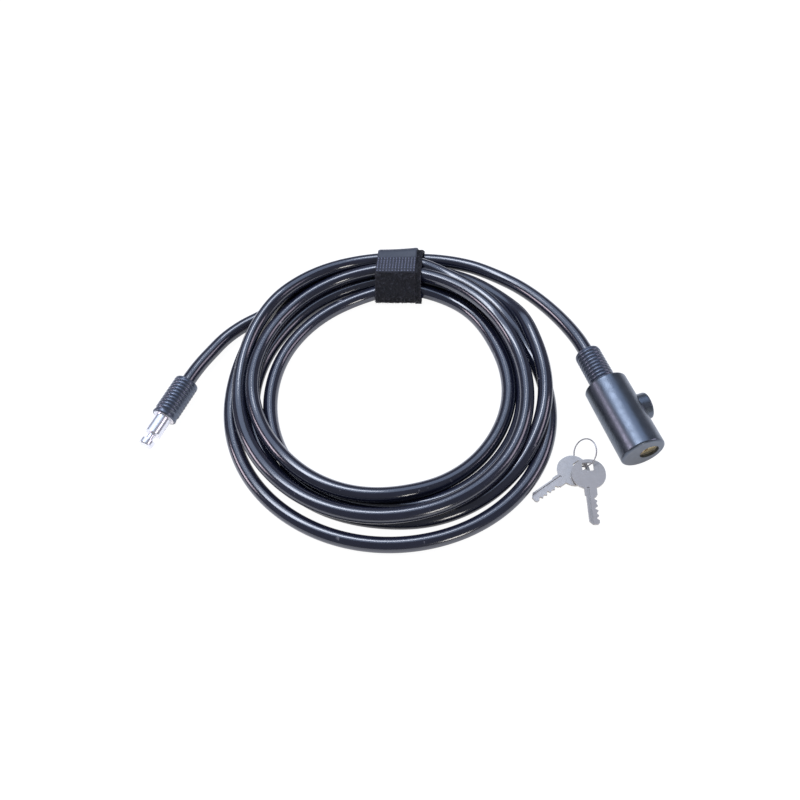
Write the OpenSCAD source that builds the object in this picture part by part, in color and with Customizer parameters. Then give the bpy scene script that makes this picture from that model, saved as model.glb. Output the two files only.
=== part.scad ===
// Keyed cable lock: a cylindrical lock head on one end of a vinyl-coated steel cable, a
// chrome plug on the other end, the cable coiled and strapped, and two keys on a wire ring.
// Origin: the mouth of the plug socket, on the face of the side boss. +X points out of the
// socket, +Y along the lock head to its cable end, +Z up. The lock lies on its side.

/* [Lock head] */
// Outside diameter of the lock head
head_d = 28.5; // [28:0.1:31]
// Length of the lock head
head_len = 54.25; // [54:0.25:66]
// Wall of the outer sleeve
sleeve_wall = 1.2; // [0.9:0.1:1.3]
// Thickness of the sleeve's closed end, round the key opening
end_wall = 2; // [1.6:0.1:2.4]
// Rounding of the sleeve's rim at the key end
rim_round = 1.6; // [0.5:0.1:1.8]
// Rounding of the sleeve's rim at the cable end
back_round = 1; // [0.3:0.1:1]
// Length of the plug that closes the cable end
back_plug_len = 6; // [5:0.5:8]
// How far the round boss stands out of the head
boss_proud = 3.8; // [3.6:0.1:7]
// Wall of the boss round the socket
boss_wall = 2.5; // [2:0.1:3]
// Rounding of the boss's outer edge
boss_round = 0.9; // [0.3:0.1:1.2]

/* [Key cylinder] */
// How far the key cylinder lies off the head's axis, towards the boss
key_shift = 3.7; // [2.5:0.1:4]
// Diameter of the brass cylinder shell
shell_d = 12.4; // [12.2:0.1:12.8]
// Depth of the cylinder's face below the end of the head
face_recess = 3; // [2.4:0.1:4]
// Diameter of the turning key plug
rotor_d = 9.2; // [9.1:0.1:9.6]
// Diameter of the key plug's face
face_d = 10.6; // [10:0.1:11]
// Thickness of the key plug's face
face_t = 1; // [0.6:0.1:1.4]
// Number of wafers in the key plug
wafers_n = 5; // [3:1:5]
// Thickness of one wafer
wafer_t = 0.8; // [0.5:0.1:1]
// Distance from one wafer to the next
wafer_pitch = 2.4; // [1.6:0.1:2.4]
// Width of a wafer across the key
wafer_w = 3.6; // [3.2:0.1:3.8]
// Height of a wafer along the key's blade
wafer_h = 8; // [7.8:0.1:8.1]
// Distance of the cam pin from the key plug's axis
cam_offset = 1.8; // [1.6:0.05:1.9]
// Diameter of the cam pin
cam_pin_d = 1.8; // [1.4:0.1:1.9]
// Thickness of the cam
cam_t = 2; // [1.6:0.1:2.6]
// Diameter of the key plug's tail
tail_d = 4.4; // [4:0.1:5]
// Thickness of the clip behind the cylinder shell
clip_t = 0.6; // [0.4:0.1:0.8]
// Diameter of the pin that holds the cylinder shell
shell_pin_d = 2; // [1.5:0.1:2.2]

/* [Latch] */
// Thickness of the latch bolt's blade, which drops into the plug's neck
bolt_t = 3; // [2:0.1:3.8]
// Height of the blade
bolt_h = 3.5; // [3:0.1:4]
// Width of the blade across the plug
bolt_w = 8; // [6:0.25:8.5]
// Thickness of the bolt's tongue, which the cam pin lifts
tongue_t = 1.5; // [1.2:0.1:2]
// Outside diameter of the bolt's spring
spring_d = 3.8; // [3:0.1:4.2]
// Diameter of the spring's wire
spring_wire = 0.5; // [0.3:0.05:0.5]
// Turns of the spring
spring_turns = 4.5; // [3:0.5:4.5]
// Height of the spring with the bolt down
spring_h = 5; // [4.8:0.1:5.2]

/* [Plug] */
// Diameter of the plug's pin
pin_d = 11.4; // [11:0.1:11.8]
// Length of the pin up to its neck
pin_len = 14; // [13:0.25:14.5]
// Diameter of the neck that the bolt drops into
neck_d = 5.2; // [4.6:0.1:5.6]
// Length of the neck
neck_len = 5.5; // [4.5:0.1:6]
// Diameter of the pin's tip
tip_d = 9.6; // [9:0.1:10]
// Length of the tip
tip_len = 4.2; // [3:0.1:4.2]
// Chamfer of the tip's front edge
tip_chamfer = 0.8; // [0.3:0.1:1.2]
// Diameter of the flange that shows in the end of the boot
flange_d = 15; // [14.6:0.1:15.4]
// Thickness of that flange
flange_t = 1.5; // [1:0.1:2]
// Diameter of the shank inside the boot
shank_d = 9; // [8:0.1:9.4]
// Length of the shank
shank_len = 8; // [6:0.5:9]
// Diameter of the ferrules that are swaged on the cable's ends
ferrule_d = 12; // [11.6:0.1:12.4]
// Length of the ferrule inside each boot
ferrule_len = 12; // [11:0.5:14]
// Diameter of the ferrule's head inside the lock head
ferrule_head_d = 14; // [13.4:0.1:15]
// Length of the ferrule's head
ferrule_head_len = 5.8; // [5:0.1:6]
// Diameter of the cross pin that holds the ferrule
anchor_pin_d = 2.5; // [2:0.1:3]

/* [Boots] */
// Outside diameter of the ribbed boots
boot_d = 17.5; // [17.2:0.1:18.5]
// Length of the head's boot, outside the head
head_boot_len = 28.5; // [27.5:0.5:34]
// Length of the plug's boot
plug_boot_len = 31.5; // [27.5:0.5:34]
// Number of ribs on each boot
ribs = 10; // [6:1:10]
// Distance from one rib to the next
rib_pitch = 2.6; // [2.4:0.05:2.65]
// Width of the groove between two ribs
groove_w = 1.1; // [0.8:0.1:1.4]
// Depth of that groove
groove_depth = 0.7; // [0.4:0.1:0.9]
// Rounding of the boot's cable end
boot_round = 1.4; // [0.5:0.1:1.6]
// Flange that holds the boot inside the head, beyond the boot's radius
boot_flange = 1.7; // [1.2:0.1:2]
// Thickness of that flange
boot_flange_t = 2; // [1.5:0.1:2.5]

/* [Cable and strap] */
// Diameter of the coated cable
cable_d = 10; // [9.6:0.1:10.2]
// Inner radius of the coil
coil_in = 78.5; // [76:0.5:82]
// Outer radius of the coil
coil_out = 119; // [112:0.5:120]
// Width of the hook-and-loop strap
strap_w = 32; // [20:1:40]
// Thickness of the strap, two layers together
strap_t = 2.2; // [1.8:0.1:2.8]

/* [Keys] */
// Thickness of a key
key_t = 1.8; // [1.6:0.1:1.9]
// Width of the key's bow
bow_w = 21; // [19:0.5:22]
// Length of the bow, along the key
bow_len = 19.4; // [18.6:0.2:20]
// Width of the slot in the bow
slot_w = 7.2; // [6.8:0.1:7.6]
// Height of the slot
slot_h = 5.4; // [5.2:0.1:5.8]
// Distance of the slot's middle from the middle of the bow
slot_at = 4.7; // [4.5:0.1:4.9]
// Rounding of the slot's corners
slot_round = 1.2; // [0.8:0.1:1.4]
// Width of the shoulder between bow and blade
shoulder_w = 7.6; // [7:0.1:8.4]
// Length of the shoulder
shoulder_len = 4.2; // [3.6:0.1:5]
// Width of the blade
blade_w = 6.2; // [5.6:0.1:6.4]
// Length of the blade
blade_len = 18.6; // [17.6:0.1:19]
// Depth of the deepest cut in the blade
cut_depth = 1.6; // [0.8:0.1:2]
// Width of the groove along the blade
key_groove_w = 1.5; // [0.8:0.1:1.8]
// Depth of that groove
key_groove_depth = 0.6; // [0.3:0.1:0.8]
// Diameter of the ring's wire
wire_d = 0.9; // [0.7:0.05:0.9]
// Diameter of the ring, at the middle of its wire
ring_d = 17.8; // [17.6:0.05:18]

/* [Fits] */
// Gap between pieces that are pushed or pinned together
fit_gap = 0.05; // [0.03:0.01:0.08]
// Gap round a piece that turns
turn_gap = 0.05; // [0.03:0.01:0.08]
// Gap round the sliding bolt and the cam
slide_gap = 0.15; // [0.1:0.05:0.2]
// Gap between the plug's pin and its socket
socket_gap = 0.1; // [0.05:0.01:0.15]
// Gap round the cable in its boots
cable_gap = 0.1; // [0.1:0.05:0.2]

/* [Hidden] */
$fn = 64;
eps = 0.01;
beyond = 40;

// Colours
black_satin = [0.05, 0.055, 0.065];
black_rubber = [0.07, 0.075, 0.085];
black_vinyl = [0.03, 0.03, 0.04];
black_strap = [0.1, 0.1, 0.12];
zinc = [0.55, 0.56, 0.58];
brass = [0.78, 0.62, 0.3];
steel = [0.62, 0.63, 0.65];
chrome = [0.85, 0.86, 0.88];
nickel = [0.7, 0.69, 0.68];

// Across the head: its axis, the key cylinder's axis and the floor
head_x = -(boss_proud + head_d / 2);
key_x = head_x + key_shift;
floor_z = -head_d / 2;
sleeve_in_r = head_d / 2 - sleeve_wall;
body_r = sleeve_in_r - fit_gap;

// Into the socket: pin, neck and tip of the plug, and the chamber that takes the tip
chamber_gap = 0.6;
chamber_r = tip_d / 2 + chamber_gap;
chamber_depth = pin_len + neck_len + tip_len + chamber_gap;
neck_mid_x = -(pin_len + neck_len / 2);
liner_wall = 0.45;
liner_in_r = pin_d / 2 + socket_gap;
liner_r = liner_in_r + liner_wall;
liner_len = pin_len - 0.2;
boss_in_r = liner_r + fit_gap;
boss_r = boss_in_r + boss_wall;
boss_hole_r = boss_r + fit_gap;
boss_seat_x = head_x + sqrt(body_r * body_r - boss_hole_r * boss_hole_r) - 0.4;

// Along the key cylinder, from the chamber out to the key end of the head
tongue_y1 = -(chamber_r + 0.1);
tongue_y0 = tongue_y1 - tongue_t;
cam_y1 = tongue_y0 - slide_gap;
cam_y0 = cam_y1 - cam_t;
rotor_y1 = cam_y0 - 0.1;
rotor_y0 = rotor_y1 - blade_len - 0.4;
clip_gap = 0.1;
shell_y1 = rotor_y1 - clip_t - 3 * clip_gap - 0.3;
shell_y0 = rotor_y0;
key_face_y = rotor_y0 - face_recess;
back_face_y = key_face_y + head_len;
body_y0 = key_face_y + end_wall + fit_gap;
body_y1 = back_face_y - back_plug_len;

// Key plug and its wafers
keyway_w = key_t + 0.2;
keyway_h = blade_w + 0.4;
groove_r = rotor_d / 2 - 0.7;
clip_r = shell_d / 2 - 0.7;
first_wafer_y = shell_y0 + face_t + 3;
wafer_groove_r = rotor_d / 2 + 0.9;
tail_len = cam_t / 2;
tail_flat = tail_d / 2 - 0.6;

// Latch: the cam pin swings a quarter turn, from 45 degrees below to 45 degrees above
cam_drop = cam_offset / sqrt(2);
lift = 2 * cam_drop;
cam_bow = 0.07;
blade_z0 = neck_d / 2 + 0.1;
blade_z1 = blade_z0 + bolt_h;
slot_half = cam_pin_d / 2 + cam_bow + 0.05;
slot_x0 = key_x - cam_offset - cam_pin_d / 2 - slide_gap;
slot_x1 = key_x - cam_drop + cam_pin_d / 2 + slide_gap;
tongue_rim = 1.3;
tongue_x0 = slot_x0 - tongue_rim;
tongue_x1 = min(max(slot_x1 + tongue_rim, neck_mid_x + bolt_t / 2), -liner_len - slide_gap);
tongue_z0 = -cam_drop - slot_half - tongue_rim;
cam_r = cam_offset + cam_pin_d / 2 + 1;
spring_z1 = blade_z1 + spring_h;

// Ferrules and boots
ferrule_y0 = body_y1 - ferrule_head_len;
anchor_y = body_y1 - ferrule_head_len / 2;
boot_bore_r = ferrule_d / 2 + fit_gap;
boot_cable_r = cable_d / 2 + cable_gap;
boot_y1 = back_face_y + head_boot_len;

// Plug, lying on the floor
plug_at = [-308.05, 104.55, floor_z + boot_d / 2];
plug_turn = 231;

// Keys and ring: where each bow lies, its heading, and its slope down to the tip
front_at = [-52.5, -29.2, floor_z + 4.3];
front_turn = 253;
front_slope = 7.4;
rear_at = [-59.4, -22.7, floor_z + 1.25];
rear_turn = 197;
rear_slope = 2;
ring_at = [-48.9, -15.5, floor_z + 7.25];
ring_lean = 48.7;
ring_turn = -5;
cuts = [0.9, 0.4, 1, 0.6, 0.8];

// Coil and strap
coil_at = [-152.8, 78];
coil_layers = 1 + sqrt(3) / 2;
strap_turn = 68.7;
strap_gap = 0.15;
strand_z = strap_t + strap_gap + cable_d / 2;
row_rise = 8.7;
strap_corners = [[88, strand_z], [118.5, strand_z],
                 [111, strand_z + row_rise], [95, strand_z + row_rise]];
tie_r = cable_d / 2 + strap_gap;
belt_steps = 8;

// Middle lines of the cable's two free stretches, each from its boot's mouth to the coil, as they
// lie with the sizes above. Where a size moves a boot, the line follows it, less and less
// towards the coil.
lock_mouth_rest = [-18.05, 51.5, 0];
lock_line = [[-18.5, 64, -0.3], [-19.7, 74, -0.8], [-22, 86, -1.5], [-25.8, 100, -2.3],
             [-31.1, 114.5, -3.1], [-38, 128.8, -4], [-47.8, 143.8, -5], [-60.3, 158.2, -5.9],
             [-75, 170.7, -6.6], [-92.3, 180.3, -6.9], [-105.6, 186.2, -6.9]];
plug_mouth_rest = [-288.23, 129.03, -5.5];
plug_line = [[-282.8, 136.2, -6.2], [-276.2, 143.7, -6.9], [-267.8, 151.9, -7.8], [-255.8, 162.3, -8.9],
             [-241, 169.6, -9.2], [-225.8, 173.8, -9.2], [-210.8, 175.2, -9.2]];
floor_rest = -14.25;

function along(turn) = [cos(turn), sin(turn), 0];
function follow(line, mouth, rest) = [for (i = [0 : len(line) - 1])
    let (w = (i + 1) / len(line))
    line[i] + (1 - w) * (mouth - rest) + w * [0, 0, floor_z - floor_rest]];

lock_mouth = [head_x, boot_y1, 0];
lock_tail = concat([[head_x, back_face_y + ferrule_len, 0], lock_mouth],
                   follow(lock_line, lock_mouth, lock_mouth_rest));
plug_mouth = plug_at - plug_boot_len * along(plug_turn);
plug_tail = concat([plug_at - (ferrule_len + flange_t) * along(plug_turn), plug_mouth],
                   follow(plug_line, plug_mouth, plug_mouth_rest));
cable_sides = 10;

// A rod or bore along X, Y or Z
module rod_x(x0, x1, r) {
    translate([x0, 0, 0]) rotate([0, 90, 0]) cylinder(h = x1 - x0, r = r);
}

module rod_y(y0, y1, r) {
    translate([0, y0, 0]) rotate([-90, 0, 0]) cylinder(h = y1 - y0, r = r);
}

module rod_z(z0, z1, r) {
    translate([0, 0, z0]) cylinder(h = z1 - z0, r = r);
}

// A block given by its lowest and highest corners
module block(low, high) {
    translate(low) cube(high - low);
}

// Half outline of a round bar along Y, with its own rounding at each end, for rotate_extrude
module bar_outline(y0, y1, r, round0, round1) {
    translate([0, y0]) square([r - round0, y1 - y0]);
    translate([0, y0 + round0]) square([r, y1 - y0 - round0 - round1]);
    translate([0, y0 + round0]) square([r - round1, y1 - y0 - round0]);
    translate([r - round0, y0 + round0]) circle(r = round0);
    translate([r - round1, y1 - round1]) circle(r = round1);
}

module bar_y(y0, y1, r, round0, round1) {
    rotate([-90, 0, 0])
        rotate_extrude()
            intersection() {
                bar_outline(y0, y1, r, round0, round1);
                translate([0, y0]) square([r, y1 - y0]);
            }
}

// Boot along +X from its cable end at x = -length to its mouth at x = 0
module boot_outside(length) {
    rotate([0, 90, 0])
        rotate_extrude()
            difference() {
                translate([0, -length]) square([boot_d / 2, length]);
                for (i = [1 : ribs])
                    translate([boot_d / 2 - groove_depth, -length + i * rib_pitch - groove_w / 2])
                        square([boot_d, groove_w]);
                translate([boot_d / 2 - boot_round, -length - eps])
                    difference() {
                        square([boot_d, boot_round + eps]);
                        translate([0, boot_round + eps]) circle(r = boot_round);
                    }
            }
}

module boot_bores(ferrule_end) {
    rod_x(-beyond, beyond, boot_cable_r);
    rod_x(ferrule_end, beyond, boot_bore_r);
}

// Sleeve: a cup that closes the key end, with a side hole for the boss
module head_sleeve() {
    color(black_satin)
        difference() {
            translate([head_x, 0, 0])
                difference() {
                    bar_y(key_face_y, back_face_y, head_d / 2, rim_round, back_round);
                    rod_y(key_face_y + end_wall, back_face_y + eps, sleeve_in_r);
                }
            translate([key_x, 0, 0]) rod_y(key_face_y - eps, 0, shell_d / 2 + fit_gap);
            rod_x(head_x, eps, boss_hole_r);
        }
}

// Room that the latch bolt needs, lifted and dropped
module bolt_room() {
    block([tongue_x0 - slide_gap, tongue_y0 - slide_gap, tongue_z0 - slide_gap],
          [tongue_x1 + slide_gap, 0, blade_z1 + lift + slide_gap]);
    block([neck_mid_x - bolt_t / 2 - slide_gap, tongue_y0 - slide_gap, 0],
          [neck_mid_x + bolt_t / 2 + slide_gap, bolt_w / 2 + slide_gap, blade_z1 + lift + slide_gap]);
    translate([neck_mid_x, 0, 0]) rod_z(0, spring_z1, spring_d / 2 + slide_gap);
}

// Die-cast body: carries the socket, the key cylinder, the latch and the cable's ferrule
module head_body() {
    color(zinc)
        difference() {
            translate([head_x, 0, 0]) rod_y(body_y0, body_y1, body_r);
            rod_x(-liner_len - slide_gap, beyond, boss_in_r);
            rod_x(-chamber_depth, 0, chamber_r);
            rod_x(boss_seat_x, beyond, boss_hole_r);
            translate([key_x, 0, 0]) {
                rod_y(body_y0 - eps, shell_y1 + fit_gap, shell_d / 2 + fit_gap);
                rod_y(shell_y1, cam_y1 + slide_gap, max(cam_r, clip_r) + slide_gap);
            }
            bolt_room();
            translate([key_x - shell_d / 2, shell_pin_y, 0])
                rod_z(-shell_pin_half, beyond, shell_pin_d / 2 + fit_gap);
            translate([head_x, anchor_y, 0]) rod_z(-anchor_half, beyond, anchor_pin_d / 2 + fit_gap);
            translate([head_x, 0, 0])
                rod_y(ferrule_y0, body_y1 + eps, ferrule_head_d / 2 + fit_gap);
        }
}

shell_pin_y = shell_y0 + 0.6 * (shell_y1 - shell_y0);
shell_pin_half = sqrt(body_r * body_r - pow(key_shift - shell_d / 2, 2)) - 1.2;
anchor_half = body_r - 1.2;

// Plug that closes the cable end and traps the boot's flange
module back_plug() {
    color(black_satin)
        translate([head_x, 0, 0])
            difference() {
                rod_y(body_y1 + fit_gap, back_face_y, sleeve_in_r - fit_gap);
                rod_y(0, back_face_y + eps, boot_d / 2 + fit_gap);
                rod_y(0, body_y1 + boot_flange_t + 2 * fit_gap, boot_d / 2 + boot_flange + fit_gap);
            }
}

// Boss that stands out of the side and rings the socket
module boss_collar() {
    color(black_satin)
        difference() {
            rotate([0, 0, -90]) bar_y(boss_seat_x + fit_gap, 0, boss_r, 0.2, boss_round);
            rod_x(-beyond, eps, boss_in_r);
        }
}

// Liner that the plug's pin slides into
module socket_liner() {
    color(steel)
        difference() {
            rod_x(-liner_len, 0, liner_r);
            rod_x(-beyond, eps, liner_in_r);
        }
}

// Brass shell of the key cylinder
module cylinder_shell() {
    wafer_span = (wafers_n - 1) * wafer_pitch + wafer_t;
    color(brass)
        difference() {
            translate([key_x, 0, 0])
                difference() {
                    rod_y(shell_y0, shell_y1, shell_d / 2);
                    rod_y(shell_y0 - eps, shell_y1 + eps, rotor_d / 2 + turn_gap);
                    rod_y(shell_y0 - eps, shell_y0 + face_t + clip_gap, face_d / 2 + turn_gap);
                    block([-wafer_w / 2 - 0.2, first_wafer_y - 0.3, -wafer_groove_r],
                          [wafer_w / 2 + 0.2, first_wafer_y + wafer_span + 0.3, wafer_groove_r]);
                }
            translate([key_x - shell_d / 2, shell_pin_y, 0])
                rod_z(-beyond, beyond, shell_pin_d / 2 + fit_gap);
        }
}

// Key plug: turns in the shell, with the keyway through it and a tail for the cam
module key_plug() {
    color(brass)
        translate([key_x, 0, 0])
            difference() {
                union() {
                    rod_y(rotor_y0, rotor_y1, rotor_d / 2);
                    rod_y(rotor_y0, rotor_y0 + face_t, face_d / 2);
                    intersection() {
                        rod_y(rotor_y1 - eps, rotor_y1 + tail_len, tail_d / 2);
                        block([-tail_flat, rotor_y0, -tail_d], [tail_flat, 0, tail_d]);
                    }
                }
                block([-keyway_w / 2, rotor_y0 - eps, -keyway_h / 2],
                      [keyway_w / 2, rotor_y1 - 1.9, keyway_h / 2]);
                for (i = [0 : wafers_n - 1])
                    translate([0, first_wafer_y + i * wafer_pitch, 0])
                        block([-wafer_w / 2 - fit_gap, -fit_gap, -wafer_h / 2 - fit_gap],
                              [wafer_w / 2 + fit_gap, wafer_t + fit_gap, wafer_h / 2 + fit_gap]);
                difference() {
                    rod_y(shell_y1 + clip_gap - fit_gap, shell_y1 + clip_gap + clip_t + fit_gap, rotor_d);
                    rod_y(rotor_y0, 0, groove_r);
                }
            }
}

// Wafers, drawn in as they stand with the key in the lock
module wafers() {
    color(brass)
        translate([key_x, 0, 0])
            for (i = [0 : wafers_n - 1])
                translate([0, first_wafer_y + i * wafer_pitch, 0])
                    difference() {
                        block([-wafer_w / 2, 0, -wafer_h / 2], [wafer_w / 2, wafer_t, wafer_h / 2]);
                        block([-keyway_w / 2, -1, -keyway_h / 2], [keyway_w / 2, wafer_t + 1, keyway_h / 2]);
                    }
}

// Open clip in the key plug's groove, behind the shell
module plug_clip() {
    clip_mouth = 2 * groove_r - 1.2;
    color(steel)
        translate([key_x, 0, 0])
            difference() {
                rod_y(shell_y1 + clip_gap, shell_y1 + clip_gap + clip_t, clip_r);
                rod_y(shell_y0, 0, groove_r + fit_gap);
                block([-clip_mouth / 2, shell_y0, -beyond], [clip_mouth / 2, 0, 0]);
            }
}

// Cam on the key plug's tail, with the pin that lifts the bolt
module plug_cam() {
    color(steel)
        translate([key_x, 0, 0]) {
            difference() {
                rod_y(cam_y0, cam_y1, cam_r);
                intersection() {
                    rod_y(cam_y0 - eps, rotor_y1 + tail_len + fit_gap, tail_d / 2 + fit_gap);
                    block([-tail_flat - fit_gap, rotor_y0, -tail_d], [tail_flat + fit_gap, 0, tail_d]);
                }
            }
            translate([-cam_drop, 0, -cam_drop]) rod_y(cam_y1 - eps, tongue_y1, cam_pin_d / 2);
        }
}

// Latch bolt: a tongue with the cam's slot, and a blade that drops behind the plug's tip
module latch_bolt() {
    color(steel)
        difference() {
            union() {
                block([tongue_x0, tongue_y0, tongue_z0], [tongue_x1, tongue_y1, blade_z1]);
                block([neck_mid_x - bolt_t / 2, tongue_y0, blade_z0],
                      [neck_mid_x + bolt_t / 2, bolt_w / 2, blade_z1]);
            }
            block([slot_x0, tongue_y0 - eps, -cam_drop - slot_half],
                  [slot_x1, tongue_y1 + eps, -cam_drop + slot_half]);
        }
}

// Ring of points round one point of a line, and a closed tube swept along the line
function unit(v) = v / norm(v);
function heading(line, i) = unit(line[min(i + 1, len(line) - 1)] - line[max(i - 1, 0)]);
function side(t) = unit(cross(t, [0, 0, 1]));
function ring(at, t, r, n) = [for (k = [0 : n - 1])
    at + r * (cos(360 * k / n) * side(t) + sin(360 * k / n) * cross(side(t), t))];
function wall(rings_n, n) = [for (i = [0 : rings_n - 2], k = [0 : n - 1])
    [i * n + k, i * n + (k + 1) % n, (i + 1) * n + (k + 1) % n, (i + 1) * n + k]];

module tube(line, r, n) {
    points = [for (i = [0 : len(line) - 1]) each ring(line[i], heading(line, i), r, n)];
    start = [[for (k = [n - 1 : -1 : 0]) k]];
    end = [[for (k = [0 : n - 1]) (len(line) - 1) * n + k]];
    polyhedron(points = points, faces = concat(start, wall(len(line), n), end));
}

// Spring over the bolt, held in a blind hole in the body
module latch_spring() {
    steps = 12 * spring_turns;
    rise = spring_h - spring_wire;
    coil_r = (spring_d - spring_wire) / 2;
    line = [for (i = [0 : steps]) [coil_r * cos(30 * i), coil_r * sin(30 * i), rise * i / steps]];
    color(steel)
        translate([neck_mid_x, 0, blade_z1 + spring_wire / 2]) tube(line, spring_wire / 2, 6);
}

// Pin that keeps the cylinder shell in the body
module cylinder_pin() {
    color(steel)
        translate([key_x - shell_d / 2, shell_pin_y, 0])
            rod_z(-shell_pin_half, shell_pin_half, shell_pin_d / 2);
}

// Cross pin through the body and the ferrule
module anchor_pin() {
    color(steel) translate([head_x, anchor_y, 0]) rod_z(-anchor_half, anchor_half, anchor_pin_d / 2);
}

// Ferrule on the cable's fixed end
module head_ferrule() {
    color(steel)
        difference() {
            translate([head_x, 0, 0])
                union() {
                    rod_y(ferrule_y0 + fit_gap, body_y1, ferrule_head_d / 2);
                    rod_y(body_y1 - eps, back_face_y + ferrule_len, ferrule_d / 2);
                }
            translate([head_x, anchor_y, 0]) rod_z(-beyond, beyond, anchor_pin_d / 2 + fit_gap);
        }
}

// Ribbed boot between the head and the cable
module head_boot() {
    flange_r = boot_d / 2 + boot_flange;
    color(black_rubber)
        translate([head_x, back_face_y, 0])
            rotate([0, 0, -90])
                difference() {
                    union() {
                        boot_outside(head_boot_len);
                        rod_x(-eps, back_plug_len - fit_gap, boot_d / 2);
                        rod_x(back_plug_len - boot_flange_t, back_plug_len - fit_gap, flange_r);
                    }
                    boot_bores(-ferrule_len - fit_gap);
                }
}

module cable_lock_tail() {
    color(black_vinyl) tube(lock_tail, cable_d / 2, cable_sides);
}

module cable_plug_tail() {
    color(black_vinyl) tube(plug_tail, cable_d / 2, cable_sides);
}

// Outer shape of the coil, with room for the strap under it
module cable_coil() {
    coil_h = cable_d * coil_layers;
    color(black_vinyl)
        difference() {
            translate([coil_at.x, coil_at.y, floor_z])
                rotate_extrude($fn = 128)
                    translate([coil_in, 0]) square([coil_out - coil_in, coil_h]);
            at_strap(strap_w + 2)
                difference() {
                    translate([coil_in - 1, -1]) square([coil_out - coil_in + 2, coil_h + 2]);
                    polygon(belt(strap_corners, tie_r - strap_gap));
                }
        }
}

// Band round a row of points, at a distance from them: flat sides joined by arcs
function turn_of(a, b) = atan2(b.y - a.y, b.x - a.x);
function arc(at, r, from, sweep, n) = [for (k = [0 : n])
    at + r * [cos(from + sweep * k / n), sin(from + sweep * k / n)]];
function belt(corners, r) = [for (i = [0 : len(corners) - 1])
    let (before = corners[(i + len(corners) - 1) % len(corners)],
         at = corners[i],
         after = corners[(i + 1) % len(corners)],
         in_turn = turn_of(before, at),
         sweep = (turn_of(at, after) - in_turn + 720) % 360)
    each arc(at, r, in_turn - 90, sweep, belt_steps)];

// Outline across the coil, where the strap goes round it, drawn out along the coil
module at_strap(width) {
    translate([coil_at.x, coil_at.y, floor_z])
        rotate([90, 0, strap_turn])
            translate([0, 0, -width / 2]) linear_extrude(width) children();
}

// Hook-and-loop strap round the whole coil
module strap() {
    color(black_strap)
        at_strap(strap_w)
            difference() {
                polygon(belt(strap_corners, tie_r + strap_t));
                polygon(belt(strap_corners, tie_r));
            }
}

// Ferrule between the cable and the plug's shank
module plug_ferrule() {
    color(steel)
        translate(plug_at)
            rotate([0, 0, plug_turn])
                difference() {
                    rod_x(-ferrule_len - flange_t, -flange_t - fit_gap, ferrule_d / 2);
                    rod_x(-flange_t - shank_len - fit_gap, 0, shank_d / 2 + fit_gap);
                }
}

module plug_boot() {
    color(black_rubber)
        translate(plug_at)
            rotate([0, 0, plug_turn])
                difference() {
                    boot_outside(plug_boot_len);
                    boot_bores(-ferrule_len - flange_t - fit_gap);
                    rod_x(-flange_t - fit_gap, beyond, flange_d / 2 + fit_gap);
                }
}

// Chrome pin with its neck and tip
module plug_pin() {
    neck_x = pin_len;
    tip_x = pin_len + neck_len;
    color(chrome)
        translate(plug_at)
            rotate([0, 0, plug_turn]) {
                rod_x(-flange_t - shank_len, 0, shank_d / 2);
                rod_x(-flange_t, 0, flange_d / 2);
                rod_x(-eps, neck_x, pin_d / 2);
                rod_x(neck_x - eps, tip_x + eps, neck_d / 2);
                rod_x(tip_x, tip_x + tip_len - tip_chamfer, tip_d / 2);
                translate([tip_x + tip_len - tip_chamfer - eps, 0, 0])
                    rotate([0, 90, 0])
                        cylinder(h = tip_chamfer, r1 = tip_d / 2, r2 = tip_d / 2 - tip_chamfer);
            }
}

// Key ring: a loop of wire through both bows
module key_ring() {
    color(steel)
        translate(ring_at)
            rotate([0, -ring_lean, ring_turn])
                rotate_extrude()
                    translate([ring_d / 2, 0]) circle(d = wire_d, $fn = 24);
}

// Outline of the oval bow, a little fuller than an ellipse
bow_sides = 48;
function bow_point(a) = [sign(cos(a)) * bow_len / 2 * pow(abs(cos(a)), 0.92),
                         sign(sin(a)) * bow_w / 2 * pow(abs(sin(a)), 0.92)];

module round_slot(size, r) {
    for (sx = [-1, 1], sy = [-1, 1])
        translate([sx * (size.x / 2 - r), sy * (size.y / 2 - r)]) circle(r = r);
    square([size.x, size.y - 2 * r], center = true);
    square([size.x - 2 * r, size.y], center = true);
}

// Flat key, lying from the middle of its bow at the origin to its tip along +X
module key_blank() {
    blade_x = bow_len / 2 + shoulder_len;
    tip_x = blade_x + blade_len;
    tooth = blade_len / (len(cuts) + 1);
    point_len = 2.2;
    difference() {
        linear_extrude(key_t)
            difference() {
                union() {
                    polygon([for (i = [0 : bow_sides - 1]) bow_point(360 * i / bow_sides)]);
                    translate([0, -shoulder_w / 2]) square([blade_x, shoulder_w]);
                    polygon([[blade_x - eps, -blade_w / 2], [tip_x - point_len, -blade_w / 2],
                             [tip_x, -blade_w / 2 + point_len], [tip_x, blade_w / 2 - 1],
                             [tip_x - 1, blade_w / 2], [blade_x - eps, blade_w / 2]]);
                }
                translate([-slot_at, 0]) round_slot([slot_h, slot_w], slot_round);
                for (i = [0 : len(cuts) - 1])
                    translate([blade_x + (i + 0.75) * tooth, blade_w / 2])
                        polygon([[-tooth * 0.42, eps], [-tooth * 0.16, -cut_depth * cuts[i]],
                                 [tooth * 0.16, -cut_depth * cuts[i]], [tooth * 0.42, eps]]);
            }
        block([bow_len / 2 - 1, -blade_w / 2 + 0.9, key_t - key_groove_depth],
              [tip_x + 1, -blade_w / 2 + 0.9 + key_groove_w, key_t + 1]);
    }
}

module key_front() {
    color(nickel) translate(front_at) rotate([0, front_slope, front_turn]) key_blank();
}

module key_rear() {
    color(nickel) translate(rear_at) rotate([0, rear_slope, rear_turn]) key_blank();
}

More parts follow.
